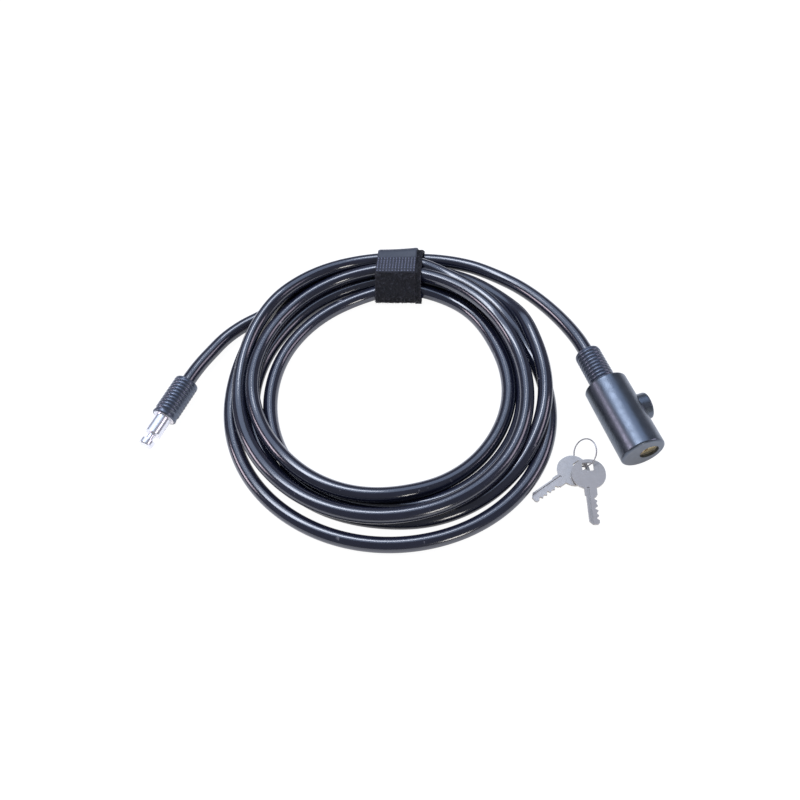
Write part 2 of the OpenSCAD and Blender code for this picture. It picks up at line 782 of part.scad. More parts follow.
head_sleeve();
head_body();
back_plug();
boss_collar();
socket_liner();
cylinder_shell();
key_plug();
wafers();
plug_clip();
plug_cam();
latch_bolt();
latch_spring();
cylinder_pin();
anchor_pin();
head_ferrule();
head_boot();
cable_lock_tail();
cable_coil();
cable_plug_tail();
plug_boot();
plug_ferrule();
plug_pin();
strap();
key_ring();
key_front();
key_rear();
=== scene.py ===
# %% [markdown]
# # A keyed cable lock, dressed for its portrait
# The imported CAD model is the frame: every piece below is built in metres in the same space.
# The lesson goes in the order of the work: the camera, the cable's route, the node tree helpers
# and the materials, then the pieces that are modelled here in more detail than the solids, and
# last the floor and the lights.

import math

import bpy
import numpy as np
from mathutils import Matrix, Vector


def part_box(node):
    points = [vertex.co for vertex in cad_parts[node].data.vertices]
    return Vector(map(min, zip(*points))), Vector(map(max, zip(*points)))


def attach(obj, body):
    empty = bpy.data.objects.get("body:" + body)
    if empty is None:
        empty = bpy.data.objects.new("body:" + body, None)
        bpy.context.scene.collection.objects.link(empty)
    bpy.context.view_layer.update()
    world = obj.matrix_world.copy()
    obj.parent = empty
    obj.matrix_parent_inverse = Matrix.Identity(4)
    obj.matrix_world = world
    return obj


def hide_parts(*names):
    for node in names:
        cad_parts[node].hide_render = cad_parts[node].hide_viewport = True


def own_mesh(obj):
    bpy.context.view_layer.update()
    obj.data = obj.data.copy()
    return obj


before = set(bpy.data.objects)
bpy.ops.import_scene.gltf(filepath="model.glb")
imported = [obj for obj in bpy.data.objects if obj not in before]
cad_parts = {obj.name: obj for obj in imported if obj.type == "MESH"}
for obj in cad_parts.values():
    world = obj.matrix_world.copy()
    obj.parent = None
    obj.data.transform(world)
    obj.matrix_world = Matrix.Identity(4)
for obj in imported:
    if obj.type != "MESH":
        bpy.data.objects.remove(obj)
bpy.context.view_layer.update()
MM = 0.001
FLOOR = -14.25  # the table's height, in millimetres

# %% [markdown]
# ## Camera
# The portrait looks down at about 56 degrees. The camera stands half a metre away, with a
# slightly wide lens, so the front of the coil is larger than its back.

# %% Camera
CAMERA_AT = Vector((-190.1, -208.9, 404.1)) * MM
CAMERA_RIGHT = Vector((0.9547, -0.2831, -0.0911)).normalized()
CAMERA_FORWARD = Vector((0.0839, 0.5501, -0.8309)).normalized()
LENS_MM = 32.59
SENSOR_MM = 36.0


def add_camera():
    data = bpy.data.cameras.new("portrait_camera")
    data.lens = LENS_MM
    data.sensor_width = SENSOR_MM
    data.clip_start = 0.01
    data.clip_end = 20.0
    camera = bpy.data.objects.new("portrait_camera", data)
    bpy.context.collection.objects.link(camera)
    up = CAMERA_RIGHT.cross(CAMERA_FORWARD).normalized()
    right = CAMERA_FORWARD.cross(up).normalized()
    turn = Matrix((right, up, -CAMERA_FORWARD)).transposed()
    camera.matrix_world = Matrix.Translation(CAMERA_AT) @ turn.to_4x4()
    bpy.context.scene.camera = camera


add_camera()

# %% [markdown]
# ## The cable's route
# The cable is one piece of vinyl-coated steel rope, 10 mm thick. From the plug it runs into a
# loose coil of five turns, passes six times under the strap, and comes out again to the lock
# head. Each turn below is a list of given stations: the angle about the coil's middle in
# degrees, the distance from it and about how high the cable lies, both in millimetres. Clockwise
# is downwards in angle, so the angles go on falling from one turn to the next.

# %% Stations of the turns
CABLE_R = 5.0
COIL_AT = (-152.8, 78.0)
STRAP_ANGLE = 68.7
TURNS = [
    # From the plug to the first pass under the strap
    [(128, 121, 5), (120, 113, 5), (110, 110, 5), (95, 108.3, 6), (80, 108, 7), (66.5, 108, 7.4)],
    # First turn: outside on the right, over the last turn, then in under the others in front
    [(52, 109.6, 6), (42, 109.9, 5.5), (30, 108.2, 8), (20, 106.8, 10), (10, 105.6, 12),
     (0, 105, 13.9), (-10, 105.6, 15.2), (-20, 106.4, 15.5), (-30, 107.4, 15), (-40, 107.8, 13),
     (-50, 107.7, 10), (-60, 107, 7.5), (-70, 106.6, 5.5), (-80, 105.8, 5), (-90, 104.6, 5),
     (-98, 102.8, 5), (-105, 100.8, 5), (-115, 99.6, 5), (-130, 98.8, 5), (-150, 97.8, 5), (-170, 96.6, 5),
     (-190, 96, 5), (-210, 95.5, 5), (-230, 95.5, 5), (-250, 97.3, 5.5), (-270, 97.5, 6.5),
     (-293.5, 98, 7.4)],
    # Second turn: low all the way, under the third in front, and innermost on the left
    [(35, 97.6, 5), (22, 94, 5), (10, 91.2, 5), (-5, 91, 5), (-18, 92.2, 5), (-32, 93.5, 5),
     (-50, 94.5, 5), (-70, 95.2, 5), (-85, 94.8, 5), (-95, 93, 5), (-105, 90.5, 5), (-115, 89.3, 5),
     (-130, 88.8, 5), (-145, 88.4, 5),
     (-160, 87.2, 5), (-170, 85.4, 5), (-180, 84, 5), (-190, 83.2, 5), (-200, 82.8, 5),
     (-218, 83.1, 5), (-249, 84.1, 5), (-269, 85.5, 6), (-293.5, 88, 7.4)],
    # Third turn: innermost on the right, over the second in front, then up over two others
    [(55.5, 89, 7), (31, 88.2, 5), (11, 84.6, 5), (-9, 83, 5), (-29, 83.2, 5), (-60, 84, 5),
     (-72, 84.5, 6), (-82, 85.2, 8), (-92, 86.3, 11), (-102, 87.4, 13.5), (-112, 88, 15),
     (-125, 88, 15), (-140, 87.8, 15), (-150, 87.8, 15), (-160, 88, 15), (-168, 88.9, 15),
     (-176, 90.4, 15), (-185, 92.3, 15), (-199, 95, 14.5), (-226, 98.2, 15), (-237, 100.2, 15),
     (-247, 101.3, 15), (-258, 102.4, 15), (-269, 102.7, 15), (-279, 101.5, 15), (-293.5, 99, 16)],
    # Fourth turn: on top of the others all the way round
    [(59, 97.3, 18), (48, 94.5, 18), (38, 92.5, 18), (27, 91, 17.5), (17, 90.8, 16.5), (7, 91.1, 15),
     (-3, 91.4, 14), (-13, 92.5, 14), (-23, 93.9, 14), (-33, 95.9, 14), (-42, 98, 14),
     (-52, 99.9, 14), (-65, 101.3, 14), (-80, 102.2, 14), (-98, 102, 14.3), (-117, 101.5, 14.5),
     (-136, 101, 14.3), (-155, 100.7, 14.3), (-165, 101.1, 14), (-185, 102.8, 14),
     (-205, 105.4, 14), (-216, 107.4, 16), (-226, 109.3, 18), (-237, 109.4, 22),
     (-247, 110.4, 22.5), (-258, 112.6, 20), (-268, 113, 17), (-279, 112, 16), (-293.5, 110, 16)],
    # Fifth turn: down from the top to the table, and the outermost in front and on the left
    [(60, 105.8, 16), (49, 102.2, 15.5), (38, 99.8, 15), (30, 98.4, 14), (20, 98, 12.5),
     (10, 97.6, 9.5), (0, 100.4, 6), (-10, 103.9, 5), (-20, 107.2, 5), (-28, 110, 5), (-39, 113.6, 5),
     (-49, 116.4, 5), (-59, 118.4, 5), (-69, 119.3, 5), (-79, 119.2, 5), (-98, 117.4, 5),
     (-118, 115.4, 5), (-138, 113.6, 5), (-158, 112.6, 5), (-178, 111.6, 5), (-198, 111, 5),
     (-220, 112, 5), (-233, 113.5, 10), (-240, 114.5, 14), (-250, 116, 12), (-260, 117, 8),
     (-279, 118, 7.4), (-293.5, 118.3, 7.4)],
    # Out from under the strap
    [(59, 118.9, 7.4), (50, 120.9, 7.6), (40.5, 122.6, 8.2)],
]

# %% [markdown]
# The two free stretches repeat the middle lines of the solids. Each starts inside its boot,
# straight out of the ferrule, and joins the coil.

# %% Free stretches
PLUG_Z = -5.5  # the plug's boot rests on the table
PLUG_END = [(-298.8, 115.95), (-292.6, 123.65), (-288.23, 129.03)]
PLUG_LINE = [(-282.8, 136.2, -6.2), (-276.2, 143.7, -6.9), (-267.8, 151.9, -7.8),
             (-255.8, 162.3, -8.9), (-241, 169.6, -9.2)]
LOCK_LINE = [(-47.8, 143.8, -5), (-38, 128.8, -4), (-31.1, 114.5, -3.1), (-25.8, 100, -2.3),
             (-22, 86, -1.5), (-19.7, 74, -0.8), (-18.5, 64, -0.3), (-18.05, 51.5, 0),
             (-18.05, 43.5, 0), (-18.05, 35, 0)]


def smooth(known, at, wanted):
    """A smooth curve through the values known at the places at, read at the places wanted."""
    step = np.diff(at)
    slope = np.diff(known, axis=0) / step[:, None]
    tangent = np.empty_like(known)
    tangent[1:-1] = ((slope[:-1] * step[1:, None] + slope[1:] * step[:-1, None])
                     / (step[1:] + step[:-1])[:, None])
    tangent[0], tangent[-1] = slope[0], slope[-1]
    i = np.clip(np.searchsorted(at, wanted) - 1, 0, len(step) - 1)
    t = ((wanted - at[i]) / step[i])[:, None]
    h = step[i][:, None]
    return ((2 * t**3 - 3 * t**2 + 1) * known[i] + (t**3 - 2 * t**2 + t) * h * tangent[i]
            + (3 * t**2 - 2 * t**3) * known[i + 1] + (t**3 - t**2) * h * tangent[i + 1])


# %% [markdown]
# ### Letting the turns settle
# The stations are close to right, but turns drawn straight through them would cut deeply into
# each other. A short relaxation eases that: strands that come closer than about one diameter push
# each other away, the table and the strap hold them up, a little bending stiffness keeps them
# smooth, and a weak pull keeps each near its station. It eases the strands apart but not all the
# way: where they touch they still share a few tenths of a millimetre, and at the strap up to
# 1.3 mm. Nothing is random, so the coil is the same in every run.

# %% Settle the coil
ANGLE_STEP = 2.5
STRAND_GIVE = 0.2  # how much closer than one diameter two strands may lie before they push
PUSH, PUSH_ASIDE, PUSH_UP = 0.25, 0.4, 1.2
STIFFNESS, STATION_PULL, WEIGHT = 0.45, 0.03, 0.015
STRAP_THICK, STRAP_TOP = 2.35, 16.1  # the tape under the strands, and the highest middle line
STRAP_NEAR, STRAP_FAR = 9, 20  # degrees from the strap at which its hold fades, and is gone
TAIL_STEPS, TAIL_RISE = 11, (7.3, 8.9)  # the stiff tail rises to the lock head
HUMP_AT, HUMP = [-22, -4, 4, 56], [5, 14.4, 13.9, 5]  # the first turn crosses over the fifth


def unwound(turns):
    """One list of (angle, distance, height) with angles that only fall."""
    rows = list(turns[0])
    for number, turn in enumerate(turns[1:]):
        rows += [(angle - 360.0 * number, distance, height) for angle, distance, height in turn]
    return np.array(rows, float)


def settle(turns, rounds=300):
    rows = unwound(turns)
    sweep = np.arange(-rows[0, 0], -rows[-1, 0], ANGLE_STEP)
    wanted = smooth(rows[:, 1:], -rows[:, 0], sweep)
    r, z = wanted[:, 0].copy(), wanted[:, 1].copy()
    angle = np.radians(-sweep)
    ahead, aside = np.cos(angle), np.sin(angle)
    off_strap = np.abs((-sweep - STRAP_ANGLE + 180) % 360 - 180)
    lowest = CABLE_R + STRAP_THICK * np.clip((STRAP_FAR - off_strap) / (STRAP_FAR - STRAP_NEAR), 0, 1)
    highest = STRAP_TOP + 0.6 * np.clip(off_strap - STRAP_NEAR, 0, 60)
    lowest[-TAIL_STEPS:] = np.linspace(*TAIL_RISE, TAIL_STEPS)
    lowest = np.maximum(lowest, np.interp(-sweep, HUMP_AT, HUMP))
    per_turn = int(round(360 / ANGLE_STEP))
    for _ in range(rounds):
        push_r, push_z = np.zeros_like(r), np.zeros_like(z)
        at = np.stack([r * ahead, r * aside, z], 1)
        for turn in range(1, 6):
            for shift in range(-3, 4):
                k = turn * per_turn + shift
                if k >= len(r):
                    continue
                gap = at[k:] - at[:-k]
                far = np.linalg.norm(gap, axis=1)
                press = np.maximum(0, 2 * CABLE_R - STRAND_GIVE - far) * PUSH / np.maximum(far, 1e-6)
                out = gap[:, 0] * ahead[k:] + gap[:, 1] * aside[k:]
                push_r[k:] += PUSH_ASIDE * press * out
                push_r[:-k] -= PUSH_ASIDE * press * out
                push_z[k:] += PUSH_UP * press * gap[:, 2]
                push_z[:-k] -= PUSH_UP * press * gap[:, 2]
        bend = np.zeros((len(r), 2))
        line = np.stack([r, z], 1)
        bend[1:-1] = (line[:-2] + line[2:]) / 2 - line[1:-1]
        r = r + push_r + STIFFNESS * bend[:, 0] + STATION_PULL * (wanted[:, 0] - r)
        z = np.clip(z + push_z + STIFFNESS * bend[:, 1] - WEIGHT, lowest, highest)
    return np.stack([COIL_AT[0] + r * ahead, COIL_AT[1] + r * aside, z + FLOOR], 1)


def resample(line, spacing):
    """Points a fixed distance apart along a smooth curve through line."""
    along = np.concatenate([[0], np.cumsum(np.linalg.norm(np.diff(line, axis=0), axis=1))])
    fine = smooth(line, along, np.linspace(0, along[-1], 8 * len(line)))
    run = np.concatenate([[0], np.cumsum(np.linalg.norm(np.diff(fine, axis=0), axis=1))])
    count = int(round(run[-1] / spacing)) + 1
    even = np.linspace(0, run[-1], count)
    return np.stack([np.interp(even, run, fine[:, k]) for k in range(3)], 1), run[-1]


POINT_SPACING = 2.5
coil_line = settle(TURNS)
plug_part = [(x, y, PLUG_Z) for x, y in PLUG_END] + PLUG_LINE
whole_line = np.concatenate([np.array(plug_part), coil_line, np.array(LOCK_LINE)])
cable_line, cable_mm = resample(whole_line, POINT_SPACING)
print("cable length, mm:", round(cable_mm, 1))

# %% [markdown]
# ## Geometry Nodes helpers
# Two small node trees do the repeated work: one sweeps a round cable along a curve, the other
# sets copies of a small shape on points. Both end in Realize Instances and Set Material, and the
# result is kept as a plain mesh.

# %% Node tree helpers
def new_tree(name, inputs):
    tree = bpy.data.node_groups.new(name, "GeometryNodeTree")
    tree.interface.new_socket("Geometry", in_out="INPUT", socket_type="NodeSocketGeometry")
    for label, kind, value in inputs:
        socket = tree.interface.new_socket(label, in_out="INPUT", socket_type=kind)
        if value is not None:
            socket.default_value = value
    tree.interface.new_socket("Geometry", in_out="OUTPUT", socket_type="NodeSocketGeometry")
    return tree, tree.nodes.new("NodeGroupInput"), tree.nodes.new("NodeGroupOutput")


def finish_tree(tree, geometry, material_socket, out):
    realize = tree.nodes.new("GeometryNodeRealizeInstances")
    paint = tree.nodes.new("GeometryNodeSetMaterial")
    tree.links.new(geometry, realize.inputs[0])
    tree.links.new(realize.outputs[0], paint.inputs["Geometry"])
    tree.links.new(material_socket, paint.inputs["Material"])
    tree.links.new(paint.outputs[0], out.inputs[0])


def run_tree(obj, tree, values, name):
    """Runs a node tree on obj and returns the result as a new object with a plain mesh."""
    modifier = obj.modifiers.new("nodes", "NODES")
    modifier.node_group = tree
    for item in tree.interface.items_tree:
        if item.item_type == "SOCKET" and item.in_out == "INPUT" and item.name in values:
            modifier[item.identifier] = values[item.name]
    graph = bpy.context.evaluated_depsgraph_get()
    mesh = bpy.data.meshes.new_from_object(obj.evaluated_get(graph), depsgraph=graph)
    mesh.name = name
    made = bpy.data.objects.new(name, mesh)
    bpy.context.collection.objects.link(made)
    bpy.data.objects.remove(obj, do_unlink=True)
    return made


def cable_tree():
    tree, given, out = new_tree("Round cable", [
        ("Radius", "NodeSocketFloat", 0.005),
        ("Sides", "NodeSocketInt", 40),
        ("Material", "NodeSocketMaterial", None),
    ])
    circle = tree.nodes.new("GeometryNodeCurvePrimitiveCircle")
    sweep = tree.nodes.new("GeometryNodeCurveToMesh")
    shade = tree.nodes.new("GeometryNodeSetShadeSmooth")
    sweep.inputs["Fill Caps"].default_value = True
    tree.links.new(given.outputs["Sides"], circle.inputs["Resolution"])
    tree.links.new(given.outputs["Radius"], circle.inputs["Radius"])
    tree.links.new(given.outputs["Geometry"], sweep.inputs["Curve"])
    tree.links.new(circle.outputs["Curve"], sweep.inputs["Profile Curve"])
    tree.links.new(sweep.outputs["Mesh"], shade.inputs["Geometry"])
    finish_tree(tree, shade.outputs[0], given.outputs["Material"], out)
    return tree


def curve_object(name, line):
    data = bpy.data.curves.new(name, "CURVE")
    data.dimensions = "3D"
    spline = data.splines.new("POLY")
    spline.points.add(len(line) - 1)
    flat = np.concatenate([line, np.ones((len(line), 1))], 1).ravel()
    spline.points.foreach_set("co", flat)
    obj = bpy.data.objects.new(name, data)
    bpy.context.collection.objects.link(obj)
    return obj


def mesh_object(name, points, faces, smooth_shading=True):
    mesh = bpy.data.meshes.new(name)
    mesh.from_pydata([tuple(p) for p in points], [], [tuple(f) for f in faces])
    mesh.validate()
    mesh.polygons.foreach_set("use_smooth", [smooth_shading] * len(mesh.polygons))
    obj = bpy.data.objects.new(name, mesh)
    bpy.context.collection.objects.link(obj)
    return obj


# %% [markdown]
# ## Materials
# Two shared node groups serve every surface: one makes soft wear in the roughness, the other
# adds a fine grain as bump. Each material sets its own scale and strength. All textures are
# read in object coordinates, so they stay on the object.

# %% Shared shader groups
def shader_group(name, inputs, outputs):
    tree = bpy.data.node_groups.new(name, "ShaderNodeTree")
    for label, value in inputs:
        socket = tree.interface.new_socket(label, in_out="INPUT", socket_type="NodeSocketFloat")
        socket.default_value = value
    for label, kind in outputs:
        tree.interface.new_socket(label, in_out="OUTPUT", socket_type=kind)
    return tree, tree.nodes.new("NodeGroupInput"), tree.nodes.new("NodeGroupOutput")


def wear_group():
    tree, given, out = shader_group(
        "Handling wear", [("Scale", 300.0), ("Low", 0.2), ("High", 0.3)],
        [("Roughness", "NodeSocketFloat")])
    where = tree.nodes.new("ShaderNodeTexCoord")
    noise = tree.nodes.new("ShaderNodeTexNoise")
    spread = tree.nodes.new("ShaderNodeMapRange")
    noise.inputs["Detail"].default_value = 4.0
    spread.inputs["From Min"].default_value = 0.35
    spread.inputs["From Max"].default_value = 0.65
    tree.links.new(where.outputs["Object"], noise.inputs["Vector"])
    tree.links.new(given.outputs["Scale"], noise.inputs["Scale"])
    tree.links.new(noise.outputs[0], spread.inputs["Value"])
    tree.links.new(given.outputs["Low"], spread.inputs["To Min"])
    tree.links.new(given.outputs["High"], spread.inputs["To Max"])
    tree.links.new(spread.outputs[0], out.inputs[0])
    return tree


def grain_group():
    tree, given, out = shader_group(
        "Fine grain", [("Scale", 2000.0), ("Strength", 0.1), ("Depth", 0.00005)],
        [("Normal", "NodeSocketVector"), ("Grain", "NodeSocketFloat")])
    where = tree.nodes.new("ShaderNodeTexCoord")
    noise = tree.nodes.new("ShaderNodeTexNoise")
    bump = tree.nodes.new("ShaderNodeBump")
    noise.inputs["Detail"].default_value = 3.0
    tree.links.new(where.outputs["Object"], noise.inputs["Vector"])
    tree.links.new(given.outputs["Scale"], noise.inputs["Scale"])
    tree.links.new(noise.outputs[0], bump.inputs["Height"])
    tree.links.new(given.outputs["Strength"], bump.inputs["Strength"])
    tree.links.new(given.outputs["Depth"], bump.inputs["Distance"])
    tree.links.new(bump.outputs[0], out.inputs[0])
    tree.links.new(noise.outputs[0], out.inputs[1])
    return tree


WEAR = wear_group()
GRAIN = grain_group()


def mix_pale_marks(nodes, links, clean, scale, least, color):
    """Mixes a few small pale marks, where a noise is above least, over the clean colour; on the black vinyl
    they are partly scuff marks and partly painted glints.
    """
    where = nodes.new("ShaderNodeTexCoord")
    noise = nodes.new("ShaderNodeTexNoise")
    noise.inputs["Scale"].default_value = scale
    noise.inputs["Detail"].default_value = 6.0
    links.new(where.outputs["Object"], noise.inputs["Vector"])
    mask = nodes.new("ShaderNodeMapRange")
    mask.inputs["From Min"].default_value = least
    mask.inputs["From Max"].default_value = least + 0.06
    links.new(noise.outputs[0], mask.inputs["Value"])
    mix = nodes.new("ShaderNodeMix")
    mix.data_type = "RGBA"
    links.new(mask.outputs[0], mix.inputs["Factor"])
    links.new(clean, mix.inputs[6])
    mix.inputs[7].default_value = (*color, 1.0)
    return mix.outputs[2]


def surface(name, color, wear, grain, metallic=0.0, tint=None, tint_scale=120.0, pale_marks=None, **fixed):
    """A principled material: wear is (scale, low, high), grain (scale, strength, depth)."""
    material = bpy.data.materials.new(name)
    material.use_nodes = True
    nodes, links = material.node_tree.nodes, material.node_tree.links
    shader = nodes["Principled BSDF"]
    shader.inputs["Metallic"].default_value = metallic
    for label, value in fixed.items():
        shader.inputs[label.replace("_", " ")].default_value = value
    rough = nodes.new("ShaderNodeGroup")
    rough.node_tree = WEAR
    for socket, value in zip(rough.inputs, wear):
        socket.default_value = value
    links.new(rough.outputs["Roughness"], shader.inputs["Roughness"])
    fine = nodes.new("ShaderNodeGroup")
    fine.node_tree = GRAIN
    for socket, value in zip(fine.inputs, grain):
        socket.default_value = value
    links.new(fine.outputs["Normal"], shader.inputs["Normal"])
    mix = nodes.new("ShaderNodeMix")
    mix.data_type = "RGBA"
    where = nodes.new("ShaderNodeTexCoord")
    cloud = nodes.new("ShaderNodeTexNoise")
    cloud.inputs["Scale"].default_value = tint_scale
    cloud.inputs["Detail"].default_value = 5.0
    links.new(where.outputs["Object"], cloud.inputs["Vector"])
    links.new(cloud.outputs[0], mix.inputs["Factor"])
    mix.inputs[6].default_value = (*color, 1.0)
    mix.inputs[7].default_value = (*(tint or [min(1.0, c * 1.25) for c in color]), 1.0)
    finish = mix_pale_marks(nodes, links, mix.outputs[2], *pale_marks) if pale_marks else mix.outputs[2]
    links.new(finish, shader.inputs["Base Color"])
    return material


# %% Materials of the lock
# The vinyl's pale marks are partly scuff marks and partly painted glints: small highlights painted into its
# colour.
vinyl = surface("black_vinyl", (0.008, 0.009, 0.02), (60, 0.13, 0.18), (900, 0.01, 0.000005),
                tint=(0.016, 0.018, 0.036), pale_marks=(150, 0.69, (0.2, 0.2, 0.22)), IOR=1.8)
satin_black = surface("satin_black_coat", (0.1, 0.115, 0.138), (220, 0.3, 0.38), (2600, 0.06, 0.00001),
                      metallic=0.85, tint=(0.118, 0.135, 0.162), IOR=1.6)
rubber = surface("boot_rubber", (0.07, 0.084, 0.118), (260, 0.28, 0.36), (1800, 0.05, 0.00001),
                 metallic=0.55, tint=(0.088, 0.104, 0.14), IOR=1.8)
brass = surface("machined_brass", (0.86, 0.68, 0.34), (500, 0.25, 0.4), (3000, 0.1, 0.00001),
                metallic=0.6, tint=(0.95, 0.8, 0.5), tint_scale=500)
steel = surface("plated_steel", (0.55, 0.56, 0.58), (600, 0.2, 0.32), (2500, 0.08, 0.00001),
                metallic=1.0, tint=(0.66, 0.67, 0.69), tint_scale=400)
zinc = surface("die_cast_zinc", (0.42, 0.43, 0.45), (350, 0.4, 0.55), (1500, 0.2, 0.00002),
               metallic=1.0, tint=(0.5, 0.51, 0.53), tint_scale=250)
chrome = surface("polished_chrome", (0.74, 0.735, 0.76), (400, 0.1, 0.16), (2500, 0.02, 0.000005),
                 metallic=0.6, tint=(0.8, 0.79, 0.82), tint_scale=300)
nickel = surface("satin_nickel", (0.395, 0.37, 0.345), (500, 0.36, 0.46), (2000, 0.03, 0.000005),
                 metallic=0.45, tint=(0.46, 0.435, 0.405), tint_scale=260)
wire_steel = surface("ring_wire", (0.4, 0.39, 0.39), (900, 0.25, 0.35), (3000, 0.02, 0.000005),
                     metallic=0.6, tint=(0.48, 0.47, 0.47), tint_scale=700)
loop_fabric = surface("loop_fabric", (0.006, 0.006, 0.009), (900, 0.6, 0.8), (1200, 0.9, 0.0004),
                      tint=(0.03, 0.03, 0.04), tint_scale=500, Sheen_Weight=0.1)
fuzz_thread = surface("fuzz_thread", (0.006, 0.006, 0.009), (900, 0.5, 0.7), (2000, 0.1, 0.00005),
                      tint=(0.02, 0.02, 0.027), tint_scale=600, pale_marks=(700, 0.55, (0.08, 0.08, 0.1)),
                      Sheen_Weight=0.1)
hook_fabric = surface("hook_fabric", (0.028, 0.034, 0.047), (900, 0.4, 0.55), (3000, 0.4, 0.0001),
                      tint=(0.055, 0.063, 0.084), tint_scale=1200, Sheen_Weight=0.1)
# The pads' pale blue colour is painted sheen: the light the hooks catch, painted into their plastic.
hook_pads_and_sheen = surface("hook_pads_and_sheen", (0.3, 0.33, 0.46), (900, 0.25, 0.4), (3000, 0.1, 0.00002),
                       tint=(0.4, 0.44, 0.6), tint_scale=1200)
hook_ground = surface("hook_ground", (0.012, 0.013, 0.02), (900, 0.5, 0.7), (2500, 0.5, 0.0002),
                      tint=(0.03, 0.032, 0.045), tint_scale=900)

NODE_MATERIALS = {
    "head_sleeve": satin_black, "head_body": zinc, "back_plug": satin_black,
    "boss_collar": satin_black, "socket_liner": steel, "cylinder_shell": brass,
    "key_plug": brass, "wafers": brass, "plug_clip": steel, "plug_cam": steel,
    "latch_bolt": steel, "latch_spring": steel, "cylinder_pin": steel, "anchor_pin": steel,
    "head_ferrule": steel, "head_boot": rubber, "plug_boot": rubber, "plug_ferrule": steel,
    "plug_pin": chrome, "key_ring": wire_steel, "key_front": nickel, "key_rear": nickel,
    "strap": loop_fabric, "cable_lock_tail": vinyl, "cable_coil": vinyl, "cable_plug_tail": vinyl,
}


def dress(node, material):
    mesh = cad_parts[node].data
    mesh.materials.clear()
    mesh.materials.append(material)


for node_name, node_material in NODE_MATERIALS.items():
    dress(node_name, node_material)

# %% [markdown]
# ## The cable
# The settled line becomes a curve, the node tree sweeps it into a tube, and the tube stands for
# the three CAD solids of the cable.

# %% Cable
cable = run_tree(curve_object("cable_line", cable_line * MM), cable_tree(),
                 {"Radius": CABLE_R * MM, "Sides": 40, "Material": vinyl}, "cable")
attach(cable, "lock")
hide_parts("cable_lock_tail", "cable_coil", "cable_plug_tail")

# %% [markdown]
# ## Boots
# The two ribbed boots are turned on a lathe: a half outline with a rounded lip and ten rounded
# ribs from the cable on, and a rounded shoulder at the other end, spun round the boot's axis.

# %% Lathe
def lathe(name, outline, turn, sides=96):
    """Spins an outline of (along, radius) pairs, in millimetres, round the X axis of turn."""
    angle = np.linspace(0, 2 * np.pi, sides, endpoint=False)
    along, radius = np.array(outline).T
    points = np.stack([np.repeat(along, sides), np.outer(radius, np.cos(angle)).ravel(),
                       np.outer(radius, np.sin(angle)).ravel()], 1) * MM
    faces = []
    for i in range(len(outline) - 1):
        for k in range(sides):
            n = (k + 1) % sides
            faces.append((i * sides + k, i * sides + n, (i + 1) * sides + n, (i + 1) * sides + k))
    obj = mesh_object(name, points, faces)
    obj.data.transform(turn)
    return obj


BOOT_R, BOOT_BORE = 8.75, 5.1
HEAD_BOOT_LEN, PLUG_BOOT_LEN = 28.5, 31.5
RIBS, RIB_PITCH, RIB_DEPTH = 10, 2.6, 0.75
RIB_FULLNESS = 0.45  # less than 1 makes a rib rounder on top and the groove narrower
COLLAR_ROUND = 1.0
LIP_ROUND, LIP_STEP, MOUTH_DEPTH = 1.3, 1.5, 6
PLUG_FRONT_BORE, HEAD_FRONT_BORE, FRONT_RECESS = 7.6, 6.2, 1.6


def boot_outline(length, front_bore):
    """From the mouth at the cable, over the ribs and the collar, to the front end's bore."""
    rows = [(-length + MOUTH_DEPTH, BOOT_BORE), (-length, BOOT_BORE)]
    for a in np.radians(np.linspace(-90, 0, 7)):
        rows.append((-length + LIP_ROUND * (1 + math.sin(a)), BOOT_R - LIP_STEP + LIP_ROUND * math.cos(a)))
    for rib in range(RIBS):
        start = -length + LIP_ROUND + rib * RIB_PITCH
        for share in np.linspace(0.06, 1, 16):
            swell = abs(math.sin(math.pi * share)) ** RIB_FULLNESS
            rows.append((start + share * RIB_PITCH, BOOT_R - RIB_DEPTH * (1 - swell)))
    for a in np.radians(np.linspace(90, 0, 7)):
        rows.append((-COLLAR_ROUND + COLLAR_ROUND * math.cos(a), BOOT_R - COLLAR_ROUND * (1 - math.sin(a))))
    rows += [(0, front_bore), (-FRONT_RECESS, front_bore), (-FRONT_RECESS, BOOT_BORE)]
    return rows


def place(at, turn_deg):
    return Matrix.Translation(Vector(at) * MM) @ Matrix.Rotation(math.radians(turn_deg), 4, "Z")


PLUG_AT, PLUG_TURN = (-308.05, 104.55, PLUG_Z), 231.0
HEAD_AT, HEAD_TURN = (-18.05, 23, 0), -90
plug_boot = lathe("ribbed_plug_boot", boot_outline(PLUG_BOOT_LEN, PLUG_FRONT_BORE),
                  place(PLUG_AT, PLUG_TURN))
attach(plug_boot, "lock")
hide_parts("plug_boot")
head_boot = lathe("ribbed_head_boot", boot_outline(HEAD_BOOT_LEN, HEAD_FRONT_BORE),
                  place(HEAD_AT, HEAD_TURN))
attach(head_boot, "lock")
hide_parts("head_boot")
for boot in (plug_boot, head_boot):
    boot.data.materials.append(rubber)

# %% [markdown]
# ## The bolt's spring
# The spring hides in the lock head, over the latch bolt. It is wound here from its node's box
# as a helix of wire.

# %% Spring
SPRING_WIRE, SPRING_TURNS, BOLT_TRAVEL = 0.5, 4.5, 2.545
low, high = (np.array(corner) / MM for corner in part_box("latch_spring"))
spring_mid = (low + high) / 2
wind_r = (high[0] - low[0] - SPRING_WIRE) / 2
wound = np.linspace(0, 2 * math.pi * SPRING_TURNS, int(16 * SPRING_TURNS) + 1)
climb = np.linspace(low[2] + SPRING_WIRE / 2, high[2] - SPRING_WIRE / 2, len(wound))
winding = np.stack([spring_mid[0] + wind_r * np.cos(wound), spring_mid[1] + wind_r * np.sin(wound),
                    climb], 1)
spring = run_tree(curve_object("winding", winding * MM), cable_tree(),
                  {"Radius": SPRING_WIRE / 2 * MM, "Sides": 8, "Material": steel}, "wound_spring")
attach(spring, "lock")
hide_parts("latch_spring")
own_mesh(spring)

